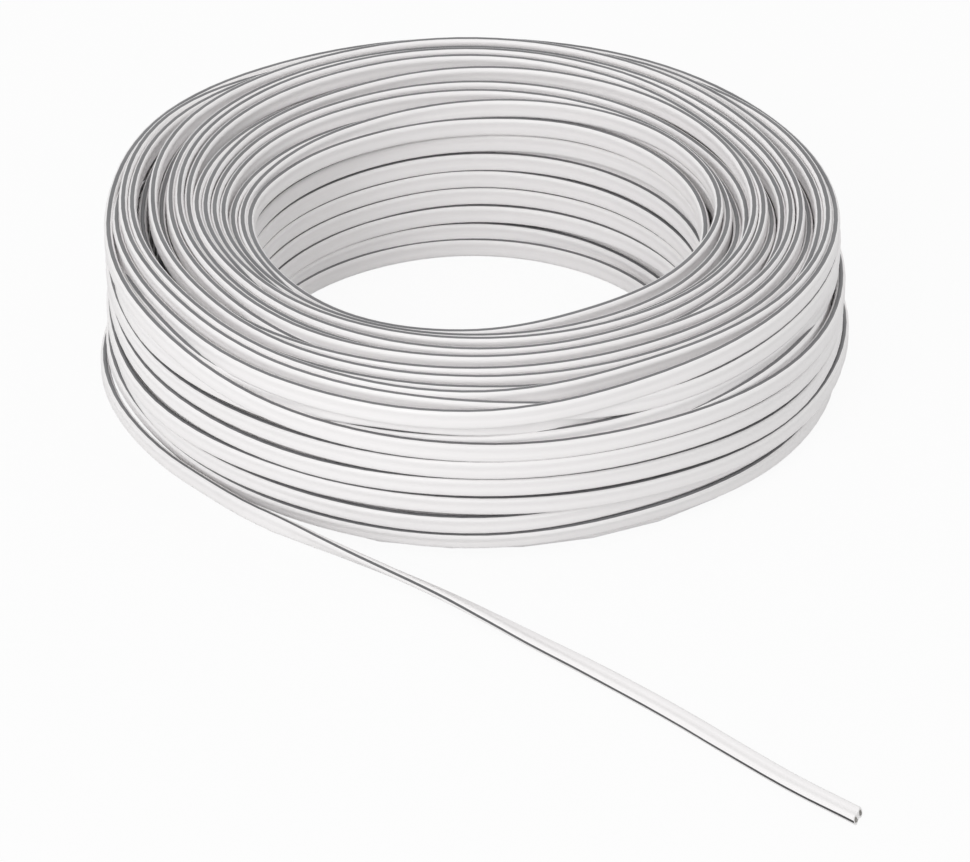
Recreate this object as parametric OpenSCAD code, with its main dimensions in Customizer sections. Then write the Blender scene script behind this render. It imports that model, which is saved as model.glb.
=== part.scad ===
// A ring of flat twin speaker cable, lying on its side face, with one end led out across the surface.
// Millimetres. The coil's axis is Z, and the surface that it lies on is Z = 0.

/* [Coil] */
// Diameter across the wound coil
coil_d = 178; // [150:1:220]
// Diameter of the hole through the coil
hole_d = 110; // [80:1:132]
// Height of the coil at the crest of its domed upper side
coil_h = 48; // [36:1:70]
// Radius of the dome across the turns
dome_r = 38; // [36:1:80]
// Width of the flat ring along the crest
crest_w = 8; // [4:0.5:16]
// Radius of the barrel shape of the outer wall
barrel_r = 60; // [50:1:120]
// Depth of the recess around the coil's foot, where the last turn lies
foot_inset = 3.8; // [3:0.1:6]

/* [Cable] */
// Width across the two halves of the cable
cable_w = 5; // [4.2:0.1:6.4]
// Thickness of each half
cable_t = 2.2; // [1.8:0.1:3]
// Thickness left at the groove between the halves
groove_t = 1.5; // [0.8:0.1:1.7]
// Distance between the centres of the two conductors
core_pitch = 2.7; // [2.2:0.1:3.2]
// Diameter of a stranded conductor
core_d = 1.15; // [0.6:0.05:1.3]
// Gap between a conductor and its insulation
core_gap = 0.05; // [0.02:0.01:0.1]

/* [Free end] */
// Direction, seen from the coil's axis, in which the cable leaves the coil
exit_angle = 236; // [180:1:300]
// Part of the coil's foot that the last turn covers
last_turn_angle = 330; // [90:5:340]

/* [Hidden] */
$fn = 96;

coil_r = coil_d / 2;
hole_r = hole_d / 2;
foot_wall_r = coil_r - foot_inset;
last_turn_r = foot_wall_r + cable_t / 2;

// Route of the free end from where it leaves the coil: distance along the tangent there, distance outwards
// from it, and the cable's roll, which is 90 while it stands on edge and 0 once it lies flat.
ROUTE = [
    [0, 0, 90],
    [12, 0.5, 72],
    [25, 1, 52],
    [38, 1.5, 40],
    [52, 2.5, 32],
    [66, 4, 20],
    [80, 6, 10],
    [95, 8, 3],
    [110, 10.5, 0],
    [125, 13.5, 0],
    [140, 17, 0],
    [156, 20.5, 0],
    [176, 23.5, 0],
];

// Half of the flat on each half of the cable, as a share of its half thickness
FLAT_SHARE = 0.6;
// Sides of a conductor's outline
CORE_SIDES = 8;
// How far a cutting shape runs past what it cuts
PAST = 1;

// Outline of the cable's section, thickness along x and width along y, with the stripe's edge at +y.
cable_outline = let (
        half_t = cable_t / 2,
        half_w = cable_w / 2,
        inner = core_pitch / 2 - FLAT_SHARE * half_t,
        outer = core_pitch / 2 + FLAT_SHARE * half_t,
        striped_half = [
            [groove_t / 2, 0],
            [half_t, inner],
            [half_t, outer],
            [0, half_w],
            [-half_t, outer],
            [-half_t, inner],
        ]
    ) concat(striped_half, [for (p = striped_half) -p]);

// Outline of a conductor, or of its channel, in the same section.
function core_outline(d, side) =
    [for (k = [0:CORE_SIDES - 1]) let (a = 360 * (k + 0.5) / CORE_SIDES)
        [d / 2 * cos(a), side * core_pitch / 2 + d / 2 * sin(a)]];

// Directions at the exit, and the free end's stations in the coil's frame.
exit_out = [cos(exit_angle), sin(exit_angle)];
exit_along = [-sin(exit_angle), cos(exit_angle)];
route_xy = [for (p = ROUTE) (last_turn_r + p[1]) * exit_out + p[0] * exit_along];
LAST = len(ROUTE) - 1;

function unit(v) = v / norm(v);
function heading(i) = i == 0 ? exit_along : unit(route_xy[min(i + 1, LAST)] - route_xy[i - 1]);
function outward(h) = [h[1], -h[0]];

// Height of the cable's centre when it rests on the surface at a given roll.
function rest_height(roll) = max([for (p = cable_outline) p[0] * cos(roll) - p[1] * sin(roll)]);

// One ring of the swept outline at station i, moved along the cable by shift.
function ring(outline, i, shift = 0) = let (
        roll = ROUTE[i][2],
        side = outward(heading(i)),
        centre = route_xy[i] + shift * heading(i),
        height = rest_height(roll)
    ) [for (p = outline) let (
        out = p[0] * sin(roll) + p[1] * cos(roll),
        up = p[1] * sin(roll) - p[0] * cos(roll)
    ) [centre[0] + out * side[0], centre[1] + out * side[1], height + up]];

// Sweeps an outline along the free end's route, and on past both of its ends by overrun.
module sweep_free_end(outline, overrun = 0) {
    n = len(outline);
    rings = [
        if (overrun > 0) ring(outline, 0, -overrun),
        for (i = [0:LAST]) ring(outline, i),
        if (overrun > 0) ring(outline, LAST, overrun),
    ];
    last = len(rings) - 1;
    sides = [for (i = [0:last - 1], k = [0:n - 1])
        let (a = i * n + k, b = i * n + (k + 1) % n) each [[a, b, b + n], [a, b + n, a + n]]];
    start_cap = [for (k = [0:n - 1]) (n - k) % n];
    end_cap = [for (k = [0:n - 1]) last * n + k];
    polyhedron([for (r = rings) each r], concat([start_cap], sides, [end_cap]), convexity = 4);
}

// Half section of the coil: a straight wall to the hole, a domed upper side, a barrel-shaped outer wall and
// a recess around the foot.
module coil_half_section() {
    crest_sink = sqrt(pow(dome_r, 2) - pow(crest_w / 2, 2));
    difference() {
        intersection() {
            translate([hole_r, 0]) square([coil_r - hole_r, coil_h]);
            translate([(hole_r + coil_r) / 2, coil_h - crest_sink]) dome_section();
            translate([coil_r - barrel_r, coil_h / 2]) circle(barrel_r);
        }
        translate([foot_wall_r, -PAST]) square([foot_inset + PAST, cable_w + PAST]);
    }
}

// A half round of the dome's radius, with straight sides below it.
module dome_section() {
    circle(dome_r);
    translate([-dome_r, -coil_h]) square([2 * dome_r, coil_h]);
}

// The wound turns as one solid, with the last turn around the foot.
module wound_coil() {
    color("whitesmoke") {
        rotate_extrude() coil_half_section();
        rotate([0, 0, exit_angle - last_turn_angle])
            rotate_extrude(angle = last_turn_angle)
                translate([last_turn_r, cable_w / 2]) polygon(cable_outline);
    }
}

// Insulation of the free end, with a channel for each conductor.
module free_end() {
    channel_d = core_d + 2 * core_gap;
    color("gainsboro") difference() {
        sweep_free_end(cable_outline);
        for (side = [-1, 1]) sweep_free_end(core_outline(channel_d, side), overrun = PAST);
    }
}

module striped_conductor() {
    color("dimgray") sweep_free_end(core_outline(core_d, 1));
}

module plain_conductor() {
    color("silver") sweep_free_end(core_outline(core_d, -1));
}

wound_coil();
free_end();
striped_conductor();
plain_conductor();
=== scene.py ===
"""A coil of white flat twin speaker cable, lying on its side, with its cut free end led out."""
import logging
import math
import random
from dataclasses import dataclass, field
from enum import Enum
from functools import partial
from typing import Callable

import bmesh
import bpy
import numpy as np
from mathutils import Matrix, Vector


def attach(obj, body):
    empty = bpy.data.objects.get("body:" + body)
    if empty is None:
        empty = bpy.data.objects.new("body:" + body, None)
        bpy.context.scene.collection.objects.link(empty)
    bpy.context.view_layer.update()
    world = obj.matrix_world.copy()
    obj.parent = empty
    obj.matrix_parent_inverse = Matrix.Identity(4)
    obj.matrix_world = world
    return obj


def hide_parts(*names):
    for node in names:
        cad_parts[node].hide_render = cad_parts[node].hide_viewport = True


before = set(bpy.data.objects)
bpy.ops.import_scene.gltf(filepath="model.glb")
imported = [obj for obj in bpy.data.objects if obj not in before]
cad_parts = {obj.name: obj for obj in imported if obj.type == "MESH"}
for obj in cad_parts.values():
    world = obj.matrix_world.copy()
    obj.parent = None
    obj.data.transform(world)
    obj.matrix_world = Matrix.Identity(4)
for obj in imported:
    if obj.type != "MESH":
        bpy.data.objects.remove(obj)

LOG = logging.getLogger("speaker_cable")
BODY = "root"
# One millimetre, in metres.
MM = 0.001
FULL_TURN = 360.0
# The cable's roll while it stands on edge, in degrees.
ON_EDGE = 90.0
# Direction of the side of the coil that faces the camera, in degrees.
NEAR_SIDE = 270.0
UV_NAME = "Lengthwise"


class CordEnd(Enum):
    """How the far end of the cable is finished."""

    BARE = "bare"


class Lay(Enum):
    """How the cable lies."""

    COILED = "coiled"


class Stiffness(Enum):
    """How stiff the cable is."""

    MEDIUM = "medium"


class Half(Enum):
    """The two halves of the cable: the side of the groove that each lies on."""

    STRIPED = 1
    PLAIN = -1


# The curve that turns an sRGB channel to linear light: a straight toe, then a power.
SRGB_STEPS = 255
SRGB_TOE_END = 0.04045
SRGB_TOE_SLOPE = 12.92
SRGB_OFFSET = 0.055
SRGB_POWER = 2.4


def linear(hex_colour: str) -> tuple[float, float, float, float]:
    """Turn an sRGB hex colour to linear light.

    Args:
        hex_colour: The colour as "#RRGGBB".

    Returns:
        Red, green, blue and an alpha of one.
    """
    light = []
    for place in (1, 3, 5):
        channel = int(hex_colour[place : place + 2], 16) / SRGB_STEPS
        if channel <= SRGB_TOE_END:
            light.append(channel / SRGB_TOE_SLOPE)
        else:
            light.append(((channel + SRGB_OFFSET) / (1 + SRGB_OFFSET)) ** SRGB_POWER)
    return (light[0], light[1], light[2], 1.0)


def add_node(
    tree: bpy.types.NodeTree, kind: str, inputs: dict | None = None, **settings: object
) -> bpy.types.Node:
    """Add a node with its settings, its inputs' values and its links.

    Args:
        tree: The node tree that gets the node.
        kind: The node's type.
        inputs: Input name or index to a value, or to the socket that feeds it.
        **settings: The node's own properties.

    Returns:
        The new node.
    """
    node = tree.nodes.new(kind)
    for name, value in settings.items():
        setattr(node, name, value)
    for name, value in (inputs or {}).items():
        if isinstance(value, bpy.types.NodeSocket):
            tree.links.new(value, node.inputs[name])
        else:
            node.inputs[name].default_value = value
    return node


def blend(
    tree: bpy.types.NodeTree, share: bpy.types.NodeSocket, first: object, second: object
) -> bpy.types.NodeSocket:
    """Blend two colours.

    Args:
        tree: The node tree.
        share: How much of the second colour shows.
        first: The first colour, or its socket.
        second: The second colour, or its socket.

    Returns:
        The blended colour's socket.
    """
    mix = add_node(tree, "ShaderNodeMix", {"Factor": share}, data_type="RGBA")
    ends = [socket for socket in mix.inputs if socket.type == "RGBA"]
    for socket, value in zip(ends, (first, second)):
        if isinstance(value, bpy.types.NodeSocket):
            tree.links.new(value, socket)
        else:
            socket.default_value = value
    return next(socket for socket in mix.outputs if socket.type == "RGBA")


def new_material(name: str) -> tuple[bpy.types.Material, bpy.types.NodeTree, bpy.types.NodeSocket]:
    """Start a material with an empty node tree.

    Args:
        name: The material's name.

    Returns:
        The material, its node tree and its surface output socket.
    """
    material = bpy.data.materials.new(name)
    material.use_nodes = True
    tree = material.node_tree
    tree.nodes.clear()
    output = add_node(tree, "ShaderNodeOutputMaterial")
    return material, tree, output.inputs["Surface"]


@dataclass(frozen=True)
class Section:
    """The cable's section, in millimetres: two round halves side by side, with a groove between them."""

    width: float = 5.0
    thickness: float = 2.2
    groove: float = 1.5
    core_pitch: float = 2.7
    # Where the points of a half's round stand, in degrees, from the groove on one face to the other's.
    lobe_angles: tuple[float, ...] = (-48.0, -2.0, 44.0, 90.0, 136.0, 182.0, 228.0)

    def outline(self) -> list[tuple[float, float]]:
        """Work out the section's outline, with the stripe's edge at +y.

        Returns:
            Points with the thickness along x and the width along y, counterclockwise.
        """
        radius = self.thickness / 2
        lobe_y = self.width / 2 - radius
        half = [(self.groove / 2, 0.0)]
        for angle in self.lobe_angles:
            turn = math.radians(angle)
            half.append((radius * math.cos(turn), lobe_y + radius * math.sin(turn)))
        return half + [(-x, -y) for x, y in half]


@dataclass(frozen=True)
class Rise:
    """A hidden turn that comes up between the top turns: its place and the line that it follows there."""

    turns_wound: float
    # Angle from the middle of the rise, radius and height of the upper edge, in degrees and millimetres.
    line: tuple[tuple[float, float, float], ...]


# The twelve places round the coil at which a turn's lie is given, from 0 to 330 degrees.
PLACES = 12
PLACE_STEP = FULL_TURN / PLACES
HALF_STEP = PLACE_STEP / 2

# Each turn over the top, from the hole outwards: radius and height of its upper edge at the twelve places.
# Where a turn dives under its neighbours, the next one comes up beside it.
TOP_TURNS = (
    ((56.5, 56.1, 55.6, 54.6, 52.8, 52.5, 53.4, 53.2, 54.5, 54.9, 54.0, 56.8),
     (42.2, 42.2, 41.6, 40.2, 40.3, 41.6, 43.8, 43.9, 43.8, 44.6, 45.5, 46.0)),
    ((59.8, 58.6, 56.9, 55.4, 54.4, 54.2, 55.2, 55.0, 56.5, 57.6, 58.8, 60.5),
     (47.1, 47.4, 46.3, 44.8, 43.4, 43.5, 44.4, 44.3, 41.8, 41.2, 41.2, 41.2)),
    ((60.4, 59.2, 58.5, 57.4, 56.6, 56.3, 57.5, 57.0, 58.2, 58.9, 59.5, 60.9),
     (42.4, 42.6, 41.8, 41.2, 42.2, 43.4, 44.5, 45.0, 45.6, 45.8, 45.8, 45.6)),
    ((61.9, 60.7, 60.0, 59.4, 58.8, 59.2, 59.8, 59.1, 59.6, 60.5, 62.5, 64.3),
     (45.3, 45.8, 45.7, 45.7, 45.7, 46.0, 46.1, 46.2, 43.4, 43.8, 46.2, 45.4)),
    ((64.2, 62.8, 62.2, 61.5, 60.4, 60.5, 60.8, 60.1, 61.0, 62.2, 64.0, 65.7),
     (42.6, 43.4, 43.8, 43.8, 43.5, 42.8, 41.6, 41.4, 41.4, 41.6, 41.8, 41.8)),
    ((66.4, 64.9, 64.3, 63.6, 61.9, 61.7, 61.9, 61.2, 62.3, 63.8, 65.4, 67.1),
     (44.8, 45.0, 45.5, 45.8, 46.1, 46.6, 46.8, 47.1, 47.6, 47.9, 48.1, 47.6)),
    ((68.2, 67.3, 68.1, 68.1, 66.2, 64.3, 64.1, 63.2, 64.2, 65.6, 66.6, 68.0),
     (47.9, 48.8, 48.0, 47.4, 46.6, 47.5, 47.5, 47.4, 42.5, 41.2, 41.2, 41.2)),
    ((69.4, 69.4, 70.0, 70.3, 68.9, 66.5, 66.2, 65.3, 66.9, 68.5, 69.0, 70.0),
     (41.2, 41.2, 41.4, 42.0, 44.3, 46.9, 48.2, 48.6, 48.2, 47.9, 47.8, 47.7)),
    ((70.4, 69.4, 71.0, 72.5, 71.7, 70.6, 68.2, 67.3, 69.5, 70.2, 71.2, 72.5),
     (47.8, 47.7, 48.1, 48.5, 48.4, 48.3, 48.0, 47.7, 47.4, 45.9, 45.9, 46.9)),
    ((72.4, 71.1, 72.9, 74.5, 73.6, 72.1, 69.3, 68.4, 70.6, 71.4, 72.4, 74.6),
     (43.8, 43.6, 45.3, 46.3, 45.8, 43.5, 42.0, 41.6, 41.6, 41.6, 42.2, 43.8)),
    ((74.9, 72.9, 74.8, 76.4, 75.5, 73.6, 70.4, 69.4, 71.6, 72.6, 73.4, 76.7),
     (46.2, 47.0, 47.8, 48.3, 48.4, 48.5, 48.8, 48.6, 48.2, 48.3, 48.3, 48.0)),
    ((76.9, 75.5, 77.0, 78.6, 78.0, 76.0, 72.5, 71.5, 73.0, 74.0, 75.0, 77.0),
     (47.5, 47.3, 47.4, 47.6, 47.8, 47.9, 47.6, 47.4, 45.2, 41.6, 41.2, 41.2)),
    ((78.2, 77.4, 78.6, 80.2, 79.6, 78.1, 74.8, 73.6, 74.9, 75.7, 76.5, 78.8),
     (41.2, 41.2, 41.3, 42.0, 44.0, 45.2, 44.2, 44.8, 46.5, 47.0, 47.1, 46.9)),
    ((79.4, 78.5, 80.2, 81.8, 81.1, 80.3, 76.8, 75.7, 77.9, 78.5, 78.7, 80.9),
     (47.3, 47.7, 48.0, 48.3, 48.3, 48.5, 48.2, 47.7, 47.0, 46.5, 45.9, 45.2)),
    ((81.5, 80.8, 82.3, 83.2, 82.8, 82.4, 79.4, 77.8, 80.1, 81.4, 80.7, 83.0),
     (43.0, 43.2, 45.3, 45.5, 45.4, 43.8, 42.8, 43.6, 45.4, 45.5, 43.5, 43.6)),
    ((83.9, 83.0, 84.4, 84.7, 84.5, 84.6, 81.8, 79.9, 82.5, 84.8, 82.6, 85.0),
     (45.9, 45.9, 46.1, 44.5, 45.5, 47.0, 47.2, 47.4, 46.7, 46.2, 47.0, 47.1)),
    ((86.0, 85.5, 86.4, 86.3, 86.2, 86.7, 84.0, 82.0, 84.6, 87.0, 86.8, 87.4),
     (46.3, 46.1, 44.0, 44.0, 44.5, 47.4, 47.3, 47.1, 46.0, 45.1, 40.9, 41.1)),
    ((88.2, 87.8, 87.2, 86.6, 86.2, 86.4, 85.6, 84.4, 88.0, 90.0, 86.9, 87.1),
     (40.3, 40.4, 40.4, 40.2, 40.0, 40.4, 44.6, 44.7, 44.4, 44.2, 45.4, 46.0)),
    ((87.9, 87.7, 88.3, 87.9, 88.0, 88.8, 87.5, 88.3, 88.6, 88.2, 88.6, 89.6),
     (45.1, 44.5, 44.7, 44.9, 45.4, 46.2, 44.3, 43.1, 37.3, 34.2, 33.3, 31.2)),
)

# Each turn down the outer wall, from the top downwards. The last one stops short, where the free end
# leaves.
OUTER_TURNS = (
    ((89.6, 89.6, 89.2, 88.8, 88.4, 88.0, 87.5, 86.8, 86.6, 88.1, 88.4, 88.9),
     (29.8, 30.0, 30.2, 30.7, 31.5, 33.0, 35.0, 31.1, 30.0, 29.4, 28.3, 25.6)),
    ((89.4, 89.4, 89.3, 89.1, 88.8, 88.2, 87.2, 87.4, 86.4, 87.4, 87.2, 88.2),
     (25.0, 25.0, 25.2, 25.6, 26.3, 27.8, 29.4, 26.3, 24.2, 24.2, 22.4, 19.3)),
    ((89.4, 89.4, 89.3, 89.2, 89.0, 88.6, 87.6, 88.0, 85.8, 86.2, 86.2, 88.0),
     (20.0, 20.0, 20.2, 20.6, 21.1, 22.4, 23.6, 20.4, 18.9, 18.3, 16.3, 13.8)),
    ((91.0, 90.8, 90.2, 89.6, 89.2, 88.6, 87.0, 85.8, 84.6, 85.0, 84.2, 86.2),
     (14.6, 15.0, 15.2, 15.4, 15.9, 16.8, 17.6, 14.0, 12.8, 12.1, 12.4, 11.4)),
    ((90.2, 90.0, 89.6, 89.4, 89.2, 89.0, 88.2, 84.2, 83.0, 84.0, 84.2, 86.0),
     (9.6, 10.0, 10.2, 10.3, 10.4, 10.6, 10.8, 7.6, 6.6, 6.6, 7.2, 6.1)),
    ((88.2, 88.8, 89.4, 89.6, 90.0, 90.4, 89.7, 86.0),
     (5.2, 5.0, 5.0, 5.0, 5.0, 5.0, 5.0, 5.0)),
)

# The turn just under the shoulder, with which the hidden rows start, from 165 degrees on.
SHOULDER_START = ((165.0, 84.4, 36.6), (180.0, 85.2, 37.2), (195.0, 86.4, 37.8))
SHOULDER_TURN = (
    (87.3, 86.9, 86.9, 86.8, 86.4, 88.0, 87.8, 87.6, 87.6, 87.4, 86.6, 83.8),
    (37.4, 36.4, 35.8, 36.4, 36.2, 35.3, 35.4, 35.6, 35.5, 35.4, 35.8, 38.2),
)

# Each turn up the wall of the hole: how far it stands back from the wall, and the height of its upper edge,
# at 30, 60, 90, 120 and 150 degrees.
INNER_TURNS = (
    ((-3.4, -2.0, -0.9, -1.0, -0.8), (5.0, 5.0, 5.0, 5.0, 5.0)),
    ((0.0, 0.0, 0.0, 0.1, 0.1), (6.3, 8.2, 9.2, 8.7, 8.3)),
    ((2.2, 2.2, 2.2, 2.2, 2.2), (8.4, 8.2, 7.8, 7.6, 8.0)),
    ((-0.3, -0.3, -0.3, -0.2, -0.2), (14.0, 14.3, 14.5, 13.6, 13.0)),
    ((0.1, 0.1, 0.1, 0.0, 0.0), (18.7, 19.3, 19.5, 18.5, 18.2)),
    ((-0.3, -0.3, -0.1, 0.0, 0.0), (24.0, 24.5, 24.5, 23.5, 23.4)),
    ((-0.1, -0.1, 0.1, 0.1, 0.1), (29.7, 29.8, 29.3, 28.4, 28.3)),
    ((-0.4, -0.3, -0.1, 0.1, 0.1), (37.0, 36.2, 34.8, 33.7, 33.6)),
)

# How far those turns stand back, and how high they come, where they pass the near side of the hole.
INNER_CROSSINGS = ((-1.2, 5.0), (0.0, 9.6), (2.2, 12.3), (0.0, 17.4), (0.0, 22.6), (0.0, 27.8), (0.0, 33.0))

# Hidden turns that show between the others.
RISES = (
    Rise(10.625, ((-60, 59.4, 33.2), (-45, 59.2, 33.0), (-30, 59.0, 32.8), (0, 58.6, 32.3),
                  (30, 58.4, 31.6), (45, 58.5, 31.1), (60, 58.9, 30.8))),
    Rise(0.0417, ((-15, 85.2, 41.4), (0, 86.0, 42.5), (15, 86.8, 40.6), (30, 86.7, 39.9),
                  (45, 87.4, 41.4), (60, 87.8, 41.0), (75, 85.6, 39.6), (90, 84.4, 38.0),
                  (105, 84.4, 36.4))),
    Rise(21.35, ((-60, 85.0, 31.2), (-45, 85.6, 31.4), (-30, 86.4, 31.8), (-15, 87.2, 32.5),
                 (0, 87.6, 33.2), (15, 87.8, 33.4), (30, 87.0, 31.4), (45, 86.4, 30.8),
                 (75, 85.4, 30.6), (105, 85.0, 31.0))),
)


@dataclass(frozen=True)
class Station:
    """A place along the winding: its winding angle, its upper edge's radius and height, and its lean."""

    angle: float
    radius: float
    top: float
    lean: float = 0.0


@dataclass
class Winding:
    """The coil's turns, worked out by loops, in millimetres and degrees."""

    section: Section
    outer_radius: float
    inner_radius: float
    exit_radius: float
    exit_angle: float = 236.0
    start_angle: float = 210.0
    # The hidden rows: how many there are, the turns in each, their spacing, and the room left at the hole.
    core_rows: int = 7
    core_columns: float = 11.0
    core_row_step: float = 5.2
    core_pitch: float = 2.4
    core_clearance: float = 3.4
    # The lowest rows leave room for the turn that stands back from the wall of the hole.
    tucked_rows: int = 3
    tucked_clearance: float = 2.2
    # How far the outmost hidden turns draw in at the foot, the direction in which they do so most, and how
    # fast that fades upwards.
    foot_tuck: float = 4.8
    tuck_middle: float = 255.0
    tuck_power: float = 1.6
    # The places over which a turn comes down from one hidden row to the next.
    settle_places: float = 2.0
    # How far, in degrees, a risen turn keeps the places of its old line away.
    rise_margin: float = 1.0
    # How far the far wall of the hole stands off centre, towards the right.
    hole_shift: float = 1.2
    # The last place before the exit: how far back it is, its radius, its height and its lean.
    before_exit: tuple[float, float, float, float] = (14.0, 85.0, 4.9, 6.0)
    exit_lean: float = 4.0
    # The outer wall's turns lean where the wall is drawn in, and more so at the foot.
    lean_below: float = 33.0
    lean_per_mm: float = 2.2
    foot_lean: float = 10.0
    foot_below: float = 8.0
    foot_within: float = 84.5
    most_lean: float = 22.0
    # Spacing of the rings, in degrees, on hidden turns and on those that can be seen.
    core_step: float = 12.0
    skin_step: float = 3.5
    skin_margin: float = 0.1
    stations: list[Station] = field(default_factory=list)
    fine: list[tuple[float, float]] = field(default_factory=list)

    def lay(self) -> None:
        """Lay every stretch in the order in which it was wound."""
        self.lay_shoulder_turn()
        self.lay_core()
        self.lay_rises()
        self.lay_inner_wall()
        skin_start = self.stations[-1].angle
        self.lay_turns(TOP_TURNS + OUTER_TURNS)
        self.fine.append((skin_start - len(INNER_TURNS) * FULL_TURN, self.stations[-1].angle + FULL_TURN))

    def core_start(self) -> float:
        """Give the winding angle at which the hidden rows start."""
        return self.start_angle + (PLACES - 1) * PLACE_STEP + HALF_STEP

    def next_turn(self) -> float:
        """Give the winding angle at which the next full turn begins."""
        return math.ceil(self.stations[-1].angle / FULL_TURN) * FULL_TURN

    def lay_shoulder_turn(self) -> None:
        """Lay the first turn, under the shoulder."""
        for angle, radius, top in SHOULDER_START:
            self.stations.append(Station(angle, radius, top))
        for k, (radius, top) in enumerate(zip(*SHOULDER_TURN)):
            self.stations.append(Station(self.start_angle + k * PLACE_STEP, radius, top))
        self.fine.append((SHOULDER_START[0][0], self.stations[-1].angle))

    def lay_core(self) -> None:
        """Lay the hidden rows, from the top one down, inwards and outwards by turns."""
        steps = int(self.core_columns * PLACES)
        inmost_row = self.inner_radius + self.core_clearance
        outmost = inmost_row + self.core_pitch * self.core_columns
        for row in range(self.core_rows):
            tucked = row >= self.core_rows - self.tucked_rows
            inmost = inmost_row + (self.tucked_clearance if tucked else 0.0)
            top = self.section.width + (self.core_rows - 1 - row) * self.core_row_step
            low = (row / (self.core_rows - 1)) ** self.tuck_power
            for k in range(steps):
                share = k / steps
                inwards = share if row % 2 == 0 else 1 - share
                settle = max(0.0, 1 - k / self.settle_places) if row else 0.0
                angle = self.core_start() + (row * steps + k) * PLACE_STEP
                near = max(0.0, math.cos(math.radians(angle - self.tuck_middle)))
                tuck = self.foot_tuck * low * near * (1 - inwards)
                radius = outmost + (inmost - outmost) * inwards - tuck
                self.stations.append(Station(angle, radius, top + self.core_row_step * settle))

    def lay_rises(self) -> None:
        """Bring up the hidden turns that show between the others."""
        for rise in RISES:
            middle = self.core_start() + rise.turns_wound * FULL_TURN
            middle = round(middle / HALF_STEP) * HALF_STEP
            first = middle + rise.line[0][0]
            last = middle + rise.line[-1][0]
            old = (first - self.rise_margin, last + self.rise_margin)
            kept = [s for s in self.stations if not old[0] <= s.angle <= old[1]]
            kept += [Station(middle + off, radius, top) for off, radius, top in rise.line]
            self.stations = sorted(kept, key=lambda s: s.angle)
            self.fine.append((first, last))

    def lay_inner_wall(self) -> None:
        """Climb the wall of the hole, level at the far side and rising at the near one."""
        base = self.next_turn()
        wall = self.inner_radius + self.section.thickness / 2
        for row, (backs, tops) in enumerate(INNER_TURNS):
            for k, (back, top) in enumerate(zip(backs, tops)):
                angle = (k + 1) * PLACE_STEP
                radius = wall + back + self.hole_shift * math.cos(math.radians(angle))
                self.stations.append(Station(base + row * FULL_TURN + angle, radius, top))
            if row < len(INNER_CROSSINGS):
                back, top = INNER_CROSSINGS[row]
                self.stations.append(Station(base + row * FULL_TURN + NEAR_SIDE, wall + back, top))

    def lay_turns(self, turns: tuple) -> None:
        """Lay turns whose lie is given at the places round the coil.

        Args:
            turns: Radii and heights of each turn.
        """
        base = self.next_turn()
        for row, (radii, tops) in enumerate(turns):
            for k, (radius, top) in enumerate(zip(radii, tops)):
                angle = base + row * FULL_TURN + k * PLACE_STEP
                self.stations.append(Station(angle, radius, top, self.lean(radius, top)))
        exit_at = base + (len(turns) - 1) * FULL_TURN + self.exit_angle
        back, radius, top, lean = self.before_exit
        self.stations.append(Station(exit_at - back, radius, top, lean))
        self.stations.append(Station(exit_at, self.exit_radius, self.section.width, self.exit_lean))

    def lean(self, radius: float, top: float) -> float:
        """Work out how far a turn of the outer wall leans outwards.

        Args:
            radius: The turn's radius.
            top: The height of its upper edge.

        Returns:
            The lean, in degrees.
        """
        if top > self.lean_below:
            return 0.0
        lean = self.lean_per_mm * max(0.0, self.outer_radius - radius)
        if top < self.foot_below and radius < self.foot_within:
            lean += self.foot_lean
        return min(lean, self.most_lean)

    def ring_angles(self) -> np.ndarray:
        """Space the rings along the winding, close together where a turn can be seen.

        Returns:
            The rings' winding angles.
        """
        end = self.stations[-1].angle
        at = [self.stations[0].angle]
        while at[-1] < end:
            seen = any(first - self.skin_margin <= at[-1] < last for first, last in self.fine)
            at.append(at[-1] + (self.skin_step if seen else self.core_step))
        return np.array(at[:-1] + [end])

    def rings(self) -> list[tuple[Vector, float]]:
        """Follow the stations with a smooth curve.

        Returns:
            Ring centres in metres and their rolls in degrees.
        """
        at = self.ring_angles()
        angles = np.array([s.angle for s in self.stations])
        radius = smooth_through(angles, np.array([s.radius for s in self.stations]), at)
        top = smooth_through(angles, np.array([s.top for s in self.stations]), at)
        leaning = smooth_through(angles, np.array([s.lean for s in self.stations]), at)
        half = self.section.width / 2
        found = []
        for a, r, t, lean in zip(at, radius, top, leaning):
            tilt = math.radians(lean)
            r_mid = r - half * math.sin(tilt)
            z_mid = max(t - half * math.cos(tilt), half * math.cos(tilt))
            turn = math.radians(a)
            centre = Vector((r_mid * math.cos(turn), r_mid * math.sin(turn), z_mid)) * MM
            found.append((centre, ON_EDGE - lean))
        return found


def smooth_through(places: np.ndarray, values: np.ndarray, at: np.ndarray) -> np.ndarray:
    """Interpolate with a smooth cubic through all the points.

    Args:
        places: Increasing places.
        values: The value at each place.
        at: The places asked for.

    Returns:
        The values there.
    """
    slopes = np.gradient(values, places)
    k = np.clip(np.searchsorted(places, at) - 1, 0, len(places) - 2)
    gap = places[k + 1] - places[k]
    t = (at - places[k]) / gap
    return (
        (2 * t**3 - 3 * t**2 + 1) * values[k]
        + (t**3 - 2 * t**2 + t) * gap * slopes[k]
        + (3 * t**2 - 2 * t**3) * values[k + 1]
        + (t**3 - t**2) * gap * slopes[k + 1]
    )


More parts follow.
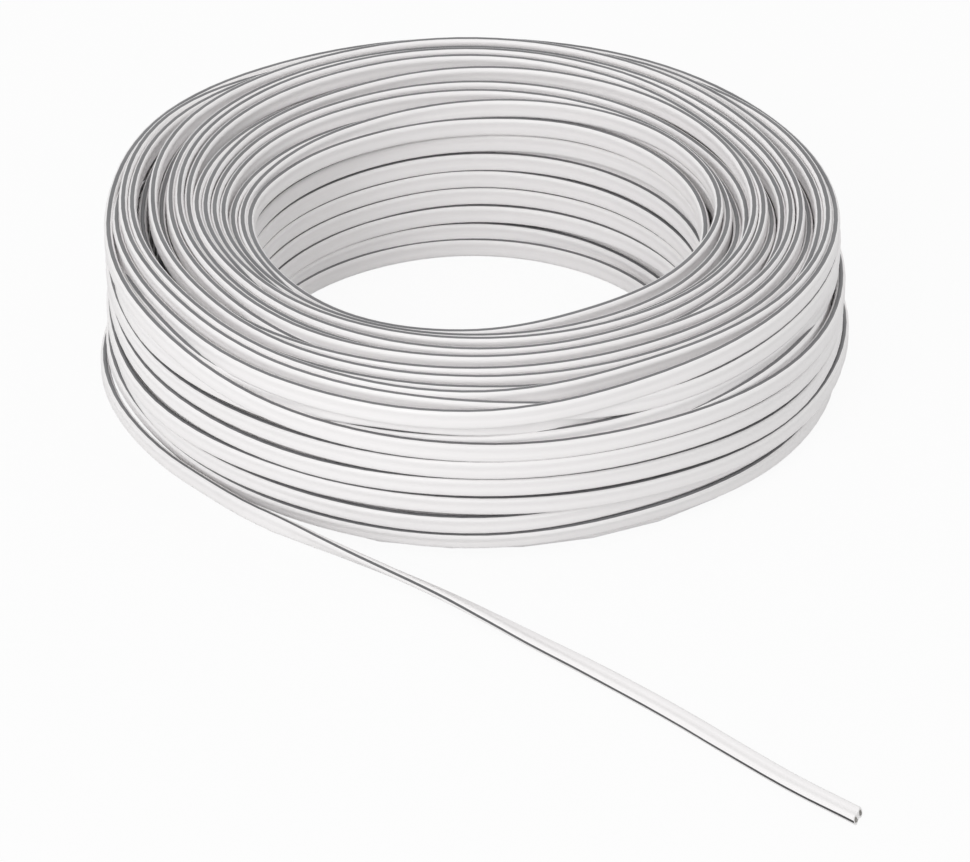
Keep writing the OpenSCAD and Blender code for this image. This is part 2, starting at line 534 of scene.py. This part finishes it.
@dataclass
class FreeEnd:
    """The stretch of cable that leaves the coil and lies across the surface."""

    section: Section
    start_radius: float
    start_angle: float
    # Distances along the tangent at the exit and outwards from it, in metres, and the roll, in degrees.
    route: tuple[tuple[float, float, float], ...] = (
        (0.000, 0.0000, 90.0),
        (0.012, 0.0005, 72.0),
        (0.025, 0.0010, 52.0),
        (0.038, 0.0015, 40.0),
        (0.052, 0.0025, 32.0),
        (0.066, 0.0040, 20.0),
        (0.080, 0.0060, 10.0),
        (0.095, 0.0080, 3.0),
        (0.110, 0.0105, 0.0),
        (0.125, 0.0135, 0.0),
        (0.140, 0.0170, 0.0),
        (0.156, 0.0205, 0.0),
        (0.176, 0.0235, 0.0),
    )
    ring_step: float = 0.0018

    def rest_height(self, roll: float) -> float:
        """Give the height of the cable's centre, in metres, when it rests on the surface at a roll."""
        turn = math.radians(roll)
        return max(x * math.cos(turn) - y * math.sin(turn) for x, y in self.section.outline()) * MM

    def rings(self) -> list[tuple[Vector, float]]:
        """Follow the route with a smooth curve.

        Returns:
            Ring centres in metres and their rolls in degrees.
        """
        turn = math.radians(self.start_angle)
        outwards = Vector((math.cos(turn), math.sin(turn), 0.0))
        onwards = Vector((-math.sin(turn), math.cos(turn), 0.0))
        places, out, roll = (np.array(column) for column in zip(*self.route))
        count = int(places[-1] / self.ring_step)
        at = places[-1] * np.arange(1, count + 1) / count
        outs = smooth_through(places, out, at)
        rolls = smooth_through(places, roll, at)
        found = []
        for along, here_out, here_roll in zip(at, outs, rolls):
            centre = outwards * (self.start_radius * MM + here_out) + onwards * along
            centre.z = self.rest_height(here_roll)
            found.append((centre, here_roll))
        return found


@dataclass
class CableLine:
    """The line that the cable follows: it says where a point of the section lies at each ring."""

    centres: list[Vector]
    rolls: list[float]
    # How far the cut leans onwards for each millimetre across the width, and across the thickness.
    cut_slope: float = 0.36
    cut_tip: float = 0.32
    lengths: list[float] = field(default_factory=list)
    frames: list[tuple[Vector, Vector, Vector]] = field(default_factory=list)

    def __post_init__(self) -> None:
        """Work out the length so far, and the directions onwards, sideways and up, at each ring."""
        last = len(self.centres) - 1
        self.lengths = [0.0]
        for k, centre in enumerate(self.centres):
            step = self.centres[min(k + 1, last)] - self.centres[max(k - 1, 0)]
            onwards = step.normalized()
            side = Vector((onwards.y, -onwards.x, 0.0)).normalized()
            self.frames.append((onwards, side, side.cross(onwards)))
            if k:
                self.lengths.append(self.lengths[-1] + (centre - self.centres[k - 1]).length)

    def place(self, ring: int, x: float, y: float, ahead: float = 0.0) -> Vector:
        """Place a point of the section.

        Args:
            ring: The ring's number.
            x: Distance across the thickness, in millimetres.
            y: Distance across the width, towards the stripe, in millimetres.
            ahead: Distance onwards along the cable, in millimetres.

        Returns:
            The point, in metres.
        """
        onwards, side, up_way = self.frames[ring]
        turn = math.radians(self.rolls[ring])
        out = x * math.sin(turn) + y * math.cos(turn)
        up = y * math.sin(turn) - x * math.cos(turn)
        if ring == len(self.centres) - 1:
            ahead += y * self.cut_slope + x * self.cut_tip
        return self.centres[ring] + (side * out + up_way * up + onwards * ahead) * MM


# The points of an outline in the cable's section, in millimetres.
Outline = list[tuple[float, float]]


def lay_tube(
    bm: bmesh.types.BMesh,
    line: CableLine,
    first: int,
    outline_at: Callable[[int], Outline],
    ahead: float = 0.0,
) -> list[bmesh.types.BMEdge]:
    """Lay a tube along the line, from a ring to the cut end, open at both ends.

    Args:
        bm: The mesh that gets the tube.
        line: The cable's line.
        first: The first ring.
        outline_at: Gives the tube's outline in the cable's section at a ring.
        ahead: How far its end stands past the cut, in millimetres.

    Returns:
        The edges of the open end at the cut.
    """
    uv = bm.loops.layers.uv.get(UV_NAME) or bm.loops.layers.uv.new(UV_NAME)
    steps = len(line.centres) - 1 - first
    last = first + steps
    outlines = [outline_at(ring) for ring in range(first, last + 1)]
    sides = len(outlines[0])
    arcs = [0.0]
    for a, b in zip(outlines[0], outlines[0][1:] + outlines[0][:1]):
        arcs.append(arcs[-1] + math.dist(a, b))
    made = bmesh.ops.create_grid(bm, x_segments=steps, y_segments=sides, size=1.0, calc_uvs=False)
    where = {}
    for vert in made["verts"]:
        where[vert] = (first + round((vert.co.x + 1) / 2 * steps), round((vert.co.y + 1) / 2 * sides))
    for face in {face for vert in where for face in vert.link_faces}:
        face.smooth = True
        for loop in face.loops:
            ring, side = where[loop.vert]
            loop[uv].uv = (line.lengths[ring], arcs[side] / arcs[-1])
    for vert, (ring, side) in where.items():
        x, y = outlines[ring - first][side % sides]
        vert.co = line.place(ring, x, y, ahead if ring == last else 0.0)
    end = {vert for vert, (ring, side) in where.items() if ring == last and side < sides}
    seam = [vert for vert, (ring, side) in where.items() if side == sides]
    target = {ring: vert for vert, (ring, side) in where.items() if side == 0}
    bmesh.ops.weld_verts(bm, targetmap={vert: target[where[vert][0]] for vert in seam})
    return [edge for edge in bm.edges if edge.is_boundary and edge.verts[0] in end and edge.verts[1] in end]


def circle_outline(centre: tuple[float, float], radius: float, sides: int) -> Outline:
    """Give the outline of a small round about a centre, drawn with a number of sides."""
    turns = [2 * math.pi * k / sides for k in range(sides)]
    return [(centre[0] + radius * math.cos(t), centre[1] + radius * math.sin(t)) for t in turns]


@dataclass
class Cable:
    """The insulation of the whole cable, with a bore for each conductor in its free end."""

    section: Section
    line: CableLine
    # The ring at which the free end starts.
    free_from: int
    bore_radius: float = 0.625
    bore_sides: int = 14

    def bore(self, half: Half) -> Outline:
        """Give the outline of the bore in a half of the cable."""
        middle = half.value * self.section.core_pitch / 2
        return circle_outline((0.0, middle), self.bore_radius, self.bore_sides)

    def build(self) -> bpy.types.Object:
        """Build the insulation.

        Returns:
            The cable's object.
        """
        bm = bmesh.new()
        outline = self.section.outline()
        rim = lay_tube(bm, self.line, 0, lambda ring: outline)
        for half in (Half.PLAIN, Half.STRIPED):
            bore = self.bore(half)
            rim += lay_tube(bm, self.line, self.free_from, lambda ring: bore)
        bmesh.ops.triangle_fill(bm, use_beauty=True, edges=rim)
        bmesh.ops.holes_fill(bm, edges=[edge for edge in bm.edges if edge.is_boundary], sides=0)
        for edge in rim:
            edge.smooth = False
        bmesh.ops.recalc_face_normals(bm, faces=bm.faces)
        return place_piece("flat_twin_cable", bm)


@dataclass
class Conductor:
    """A bundle of fine tinned strands, twisted, that ends at the cut."""

    name: str
    half: Half
    section: Section
    line: CableLine
    free_from: int
    # Number of strands in each layer, and the layer's radius in millimetres.
    layers: tuple[tuple[int, float], ...] = ((3, 0.12), (8, 0.3), (13, 0.49))
    strand_radius: float = 0.098
    strand_sides: int = 6
    twist_pitch: float = 22.0
    # Least and most that a strand stands out of the cut.
    proud: tuple[float, float] = (0.05, 0.3)

    def strand(self, angle: float, radius: float, ring: int) -> Outline:
        """Give a strand's outline.

        Args:
            angle: The strand's place in its layer, in radians.
            radius: The layer's radius, in millimetres.
            ring: The ring's number.

        Returns:
            The outline's points.
        """
        wound = 2 * math.pi * self.line.lengths[ring] / MM / self.twist_pitch
        x = radius * math.cos(angle + wound)
        y = self.half.value * self.section.core_pitch / 2 + radius * math.sin(angle + wound)
        return circle_outline((x, y), self.strand_radius, self.strand_sides)

    def build(self) -> bpy.types.Object:
        """Build the bundle.

        Returns:
            The bundle's object.
        """
        chance = random.Random(self.name)
        bm = bmesh.new()
        for count, radius in self.layers:
            for k in range(count):
                angle = 2 * math.pi * k / count
                ahead = chance.uniform(*self.proud)
                outline_at = partial(self.strand, angle, radius)
                lay_tube(bm, self.line, self.free_from, outline_at, ahead)
        bmesh.ops.holes_fill(bm, edges=[edge for edge in bm.edges if edge.is_boundary], sides=0)
        bmesh.ops.recalc_face_normals(bm, faces=bm.faces)
        return place_piece(self.name, bm)


def place_piece(name: str, bm: bmesh.types.BMesh) -> bpy.types.Object:
    """Make a mesh into an object of the scene.

    Args:
        name: The object's name.
        bm: The mesh, which is used up.

    Returns:
        The object.
    """
    mesh = bpy.data.meshes.new(name)
    bm.to_mesh(mesh)
    bm.free()
    piece = bpy.data.objects.new(name, mesh)
    bpy.context.collection.objects.link(piece)
    return piece


# Layers of noise in a fine pattern, and in a soft one.
FINE_DETAIL = 3.0
SOFT_DETAIL = 2.0


@dataclass(frozen=True)
class WhiteVinyl:
    """Extruded PVC insulation: soft white, faintly glossy, with a grey line printed along one edge."""

    name: str = "extruded_white_pvc"
    white: str = "#FAF8F8"
    shaded_white: str = "#F4F2F2"
    ink: str = "#626264"
    thin_ink: str = "#808082"
    # Painted shade: the line is painted darker over this much of the cable, in metres back from the cut
    # end, where the free end's lower edge lies in shade.
    tip_painted_shade_ink: str = "#262628"
    tip_painted_shade_over: float = 0.2
    # The printed line's middle, half width, soft edge and wander, as shares of the way round the cable.
    stripe_middle: float = 0.25
    stripe_half: float = 0.046
    stripe_soft: float = 0.008
    stripe_wander: float = 0.008
    # How much finer the free end's line is than the coil's, and over which distances from the cut end
    # it gets so.
    stripe_narrowing: float = 0.016
    narrow_over: tuple[float, float] = (0.26, 0.2)
    wanders_per_metre: float = 60.0
    # The way round the cable, in metres.
    girth: float = 0.0133
    # Orange peel, 0.35 mm across, and draw marks, 0.9 mm wide and some thirty times as long.
    grain_size: float = 0.00035
    grain_depth: float = 0.000012
    streak_size: float = 0.0009
    streak_depth: float = 0.00003
    streak_stretch: tuple[float, float, float] = (0.03, 1.0, 1.0)
    matt: float = 0.46
    glossy: float = 0.36
    ior: float = 1.53

    def make(self, length: float) -> bpy.types.Material:
        """Build the material.

        Args:
            length: The cable's length, in metres.

        Returns:
            The finished material.
        """
        material, tree, surface = new_material(self.name)
        uv = add_node(tree, "ShaderNodeUVMap", uv_map=UV_NAME)
        parts = add_node(tree, "ShaderNodeSeparateXYZ", {0: uv.outputs[0]})
        along, around = parts.outputs["X"], parts.outputs["Y"]
        round_it = add_node(tree, "ShaderNodeMath", {0: around, 1: self.girth}, operation="MULTIPLY")
        # The cable's skin laid flat, in metres: along it, and round it.
        skin = add_node(tree, "ShaderNodeCombineXYZ", {0: along, 1: round_it.outputs[0]}).outputs[0]
        # Draw marks: long faint streaks that run with the cable.
        drawn = add_node(
            tree, "ShaderNodeVectorMath", {0: skin, 1: self.streak_stretch}, operation="MULTIPLY"
        )
        streak = self.noise(tree, drawn.outputs[0], 1 / self.streak_size, SOFT_DETAIL)
        # The printed line wanders a little and its ink varies in strength at random.
        wander = self.noise(tree, skin, self.wanders_per_metre, SOFT_DETAIL)
        white = blend(tree, streak, linear(self.shaded_white), linear(self.white))
        ink = blend(tree, wander, linear(self.ink), linear(self.thin_ink))
        # Painted shade: towards the cut end the line is painted darker. This stands in for the shade on the
        # free end's lower edge.
        tip_painted_shade_share = add_node(
            tree,
            "ShaderNodeMapRange",
            {0: along, "From Min": length - self.tip_painted_shade_over, "From Max": length},
        )
        ink = blend(tree, tip_painted_shade_share.outputs[0], ink, linear(self.tip_painted_shade_ink))
        colour = blend(tree, self.stripe_share(tree, along, around, wander, length), white, ink)
        rough = add_node(
            tree, "ShaderNodeMapRange", {0: streak, "To Min": self.matt, "To Max": self.glossy}
        )
        shader = add_node(
            tree,
            "ShaderNodeBsdfPrincipled",
            {
                "Base Color": colour,
                "Roughness": rough.outputs[0],
                "IOR": self.ior,
                "Normal": self.relief(tree, skin, streak),
            },
        )
        tree.links.new(shader.outputs[0], surface)
        return material

    @staticmethod
    def noise(
        tree: bpy.types.NodeTree, place: bpy.types.NodeSocket, scale: float, detail: float
    ) -> bpy.types.NodeSocket:
        """Read a noise at a place.

        Args:
            tree: The node tree.
            place: The socket that gives the place.
            scale: How many of the noise's cells a metre holds.
            detail: Layers of finer noise.

        Returns:
            The noise's socket.
        """
        return add_node(
            tree, "ShaderNodeTexNoise", {"Vector": place, "Scale": scale, "Detail": detail}
        ).outputs[0]

    def stripe_share(
        self,
        tree: bpy.types.NodeTree,
        along: bpy.types.NodeSocket,
        around: bpy.types.NodeSocket,
        wander: bpy.types.NodeSocket,
        length: float,
    ) -> bpy.types.NodeSocket:
        """Work out where the printed line is.

        Args:
            tree: The node tree.
            along: Distance along the cable.
            around: Share of the way round it.
            wander: The noise that the line wanders by.
            length: The cable's length, in metres.

        Returns:
            A socket that gives one on the line, and nothing off it.
        """
        shift = add_node(
            tree,
            "ShaderNodeMapRange",
            {0: wander, "To Min": -self.stripe_wander, "To Max": self.stripe_wander},
        )
        off = add_node(tree, "ShaderNodeMath", {0: around, 1: self.stripe_middle}, operation="SUBTRACT")
        moved = add_node(tree, "ShaderNodeMath", {0: off.outputs[0], 1: shift.outputs[0]}, operation="ADD")
        away = add_node(tree, "ShaderNodeMath", {0: moved.outputs[0]}, operation="ABSOLUTE")
        narrow_from, narrow_to = (length - back for back in self.narrow_over)
        narrow = add_node(
            tree,
            "ShaderNodeMapRange",
            {0: along, "From Min": narrow_from, "From Max": narrow_to, "To Max": self.stripe_narrowing},
        )
        narrowed = add_node(
            tree, "ShaderNodeMath", {0: away.outputs[0], 1: narrow.outputs[0]}, operation="ADD"
        )
        inner_edge = self.stripe_half - self.stripe_soft
        return add_node(
            tree,
            "ShaderNodeMapRange",
            {0: narrowed.outputs[0], "From Min": self.stripe_half, "From Max": inner_edge},
        ).outputs[0]

    def relief(
        self, tree: bpy.types.NodeTree, skin: bpy.types.NodeSocket, streak: bpy.types.NodeSocket
    ) -> bpy.types.NodeSocket:
        """Roughen the skin with orange peel, as the hot vinyl leaves the die, and with the draw marks.

        Args:
            tree: The node tree.
            skin: The place on the skin.
            streak: The draw marks.

        Returns:
            The socket of the roughened surface's direction.
        """
        grain = self.noise(tree, skin, 1 / self.grain_size, FINE_DETAIL)
        peel = add_node(tree, "ShaderNodeBump", {"Height": grain, "Distance": self.grain_depth})
        marks = add_node(
            tree,
            "ShaderNodeBump",
            {"Height": streak, "Distance": self.streak_depth, "Normal": peel.outputs[0]},
        )
        return marks.outputs[0]


@dataclass(frozen=True)
class TinnedCopper:
    """Tinned copper strands: a dull silver that the drawing die has left a little uneven."""

    name: str = "tinned_copper"
    bright: str = "#B4B2AE"
    dull: str = "#7C7A77"
    smooth: float = 0.28
    rough: float = 0.5
    patch_size: float = 0.0004

    def make(self) -> bpy.types.Material:
        """Build the material.

        Returns:
            The finished material.
        """
        material, tree, surface = new_material(self.name)
        place = add_node(tree, "ShaderNodeTexCoord")
        # Patches where the tin is thinner and duller.
        patch = add_node(
            tree,
            "ShaderNodeTexNoise",
            {"Vector": place.outputs["Object"], "Scale": 1 / self.patch_size, "Detail": FINE_DETAIL},
        )
        colour = blend(tree, patch.outputs[0], linear(self.dull), linear(self.bright))
        rough = add_node(
            tree, "ShaderNodeMapRange", {0: patch.outputs[0], "To Min": self.rough, "To Max": self.smooth}
        )
        shader = add_node(
            tree,
            "ShaderNodeBsdfPrincipled",
            {"Base Color": colour, "Metallic": 1.0, "Roughness": rough.outputs[0]},
        )
        tree.links.new(shader.outputs[0], surface)
        return material


@dataclass(frozen=True)
class Softbox:
    """A square soft lamp that points at the coil: its place and size in metres, and its power in watts."""

    name: str
    place: tuple[float, float, float]
    size: float
    power: float


@dataclass
class Studio:
    """The camera, the floor and the light."""

    camera_place: tuple[float, float, float] = (0.0, -1.2887, 0.7876)
    camera_aim: tuple[float, float, float] = (0.0033, 0.0, -0.0177)
    # Lens and sensor in millimetres, and the farthest that the camera sees, in metres.
    lens: float = 228.65
    sensor: float = 36.0
    farthest: float = 100.0
    floor_size: float = 8.0
    floor_white: str = "#E2E2E2"
    floor_glow: float = 0.93
    room_light: float = 0.7
    room_white: tuple[float, float, float, float] = (1.0, 1.0, 1.0, 1.0)
    lamps: tuple[Softbox, ...] = (
        Softbox("key_softbox", (-0.75, -1.5, 1.05), 1.0, 12.0),
        Softbox("overhead_softbox", (0.5, 0.3, 1.6), 1.0, 2.0),
    )

    def add_camera(self) -> None:
        """Place the camera."""
        data = bpy.data.cameras.new("camera")
        data.lens = self.lens
        data.sensor_width = self.sensor
        data.clip_end = self.farthest
        camera = bpy.data.objects.new("camera", data)
        bpy.context.collection.objects.link(camera)
        place = Vector(self.camera_place)
        camera.location = place
        camera.rotation_euler = (Vector(self.camera_aim) - place).to_track_quat("-Z", "Y").to_euler()
        bpy.context.scene.camera = camera

    @staticmethod
    def seen_share(tree: bpy.types.NodeTree) -> bpy.types.NodeSocket:
        """Tell rays that the eye sees, straight, mirrored or through glass, from those that carry light.

        Args:
            tree: The node tree.

        Returns:
            A socket that gives one for a seen ray, and else nothing.
        """
        path = add_node(tree, "ShaderNodeLightPath")
        seen = path.outputs["Is Camera Ray"]
        for kind in ("Is Glossy Ray", "Is Transmission Ray"):
            either = add_node(
                tree, "ShaderNodeMath", {0: seen, 1: path.outputs[kind]}, operation="MAXIMUM"
            )
            seen = either.outputs[0]
        return seen

    def add_floor(self) -> None:
        """Lay the pale floor."""
        bm = bmesh.new()
        bmesh.ops.create_grid(bm, x_segments=1, y_segments=1, size=self.floor_size / 2)
        mesh = bpy.data.meshes.new("floor")
        bm.to_mesh(mesh)
        bm.free()
        floor = bpy.data.objects.new("floor", mesh)
        bpy.context.collection.objects.link(floor)
        material, tree, surface = new_material("matt_white_floor")
        seen = self.seen_share(tree)
        share = add_node(tree, "ShaderNodeMath", {0: seen, 1: self.floor_glow}, operation="MULTIPLY")
        diffuse = add_node(tree, "ShaderNodeBsdfDiffuse", {"Color": linear(self.floor_white)})
        emission = add_node(tree, "ShaderNodeEmission")
        both = add_node(
            tree,
            "ShaderNodeMixShader",
            {0: share.outputs[0], 1: diffuse.outputs[0], 2: emission.outputs[0]},
        )
        tree.links.new(both.outputs[0], surface)
        mesh.materials.append(material)

    def add_light(self) -> None:
        """Hang the soft lamps and light the room."""
        world = bpy.data.worlds.new("room")
        bpy.context.scene.world = world
        world.use_nodes = True
        world.node_tree.nodes.clear()
        tree = world.node_tree
        seen = self.seen_share(tree)
        strength = add_node(tree, "ShaderNodeMapRange", {0: seen, "To Min": self.room_light})
        background = add_node(
            tree, "ShaderNodeBackground", {"Color": self.room_white, "Strength": strength.outputs[0]}
        )
        output = add_node(tree, "ShaderNodeOutputWorld")
        tree.links.new(background.outputs[0], output.inputs["Surface"])
        for softbox in self.lamps:
            data = bpy.data.lights.new(softbox.name, "AREA")
            data.shape = "SQUARE"
            data.size = softbox.size
            data.energy = softbox.power
            lamp = bpy.data.objects.new(softbox.name, data)
            bpy.context.collection.objects.link(lamp)
            lamp.location = softbox.place
            lamp.rotation_euler = (-Vector(softbox.place)).to_track_quat("-Z", "Y").to_euler()


def lay_cable(section: Section) -> tuple[CableLine, int]:
    """Lay the whole cable, wound and free.

    Args:
        section: The cable's section.

    Returns:
        The cable's line, and the number of the ring at which its free end starts.
    """
    winding = Winding(section, outer_radius=88.6, inner_radius=55.2, exit_radius=86.3)
    winding.lay()
    wound = winding.rings()
    free = FreeEnd(section, winding.exit_radius, winding.exit_angle).rings()
    centres, rolls = zip(*(wound + free))
    return CableLine(list(centres), list(rolls)), len(wound) - 1


def build_bundles(section: Section, line: CableLine, free_from: int) -> list[bpy.types.Object]:
    """Build and dress both conductors.

    Args:
        section: The cable's section.
        line: The cable's line.
        free_from: The ring at which the free end starts.

    Returns:
        The bundles' objects.
    """
    metal = TinnedCopper().make()
    bundles = []
    for name, half, node in (
        ("striped_half_strands", Half.STRIPED, "striped_conductor"),
        ("plain_half_strands", Half.PLAIN, "plain_conductor"),
    ):
        bundle = Conductor(name, half, section, line, free_from).build()
        bundle.data.materials.append(metal)
        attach(bundle, BODY)
        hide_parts(node)
        bundles.append(bundle)
        LOG.info("%s: %d faces", name, len(bundle.data.polygons))
    return bundles


def main() -> None:
    """Build the scene: the camera and the cable first, then the floor and the light."""
    logging.basicConfig(level=logging.INFO, format="%(message)s")
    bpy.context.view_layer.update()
    studio = Studio()
    studio.add_camera()
    section = Section()
    line, free_from = lay_cable(section)
    drawn_length = line.lengths[-1]
    cable = Cable(section, line, free_from).build()
    cable.data.materials.append(WhiteVinyl().make(drawn_length))
    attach(cable, BODY)
    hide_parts("wound_coil", "free_end")
    LOG.info("%s: %.2f m, %d faces", cable.name, drawn_length, len(cable.data.polygons))
    bundles = build_bundles(section, line, free_from)
    studio.add_floor()
    studio.add_light()
    bpy.context.scene.view_settings.view_transform = "Standard"


if __name__ == "__main__":
    main()
